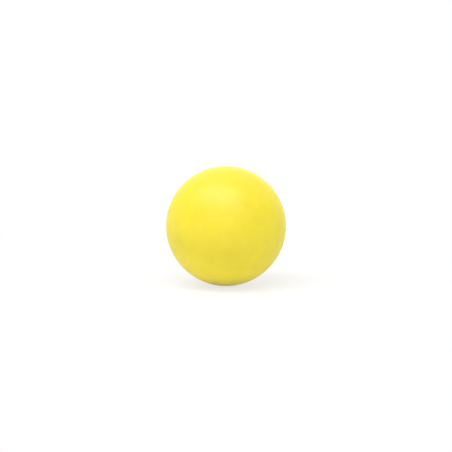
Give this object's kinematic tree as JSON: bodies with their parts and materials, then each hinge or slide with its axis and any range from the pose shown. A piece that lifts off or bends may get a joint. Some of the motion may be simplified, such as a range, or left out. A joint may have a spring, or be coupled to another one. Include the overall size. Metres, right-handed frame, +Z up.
{
  "type": "golf ball",
  "caption": "Smooth yellow golf ball without dimples, in nested layers: solid core, outer core cups, mantle and cover half-shells with rims that seat in each other.",
  "frame": {"origin": "centre of the ball", "axes": "+Z up, with the point that rests on a tee at -Z. The cover's two moulding poles lie on the Y axis, with the front pole at -Y facing the viewer. The cover parts in the plane y = 0, the mantle in z = 0 and the outer core in x = 0."},
  "size_m": [0.0426, 0.0426, 0.0426],
  "materials": {
    "inner_core_rubber": "matte",
    "outer_core_rubber": "matte",
    "mantle_ionomer": "satin",
    "cover_urethane": "satin"
  },
  "bodies": {
    "root": {"inner_core": "inner_core_rubber", "outer_core_left": "outer_core_rubber", "outer_core_right": "outer_core_rubber", "mantle_upper": "mantle_ionomer", "mantle_lower": "mantle_ionomer", "cover_front": "cover_urethane", "cover_rear": "cover_urethane"}
  },
  "joints": []
}
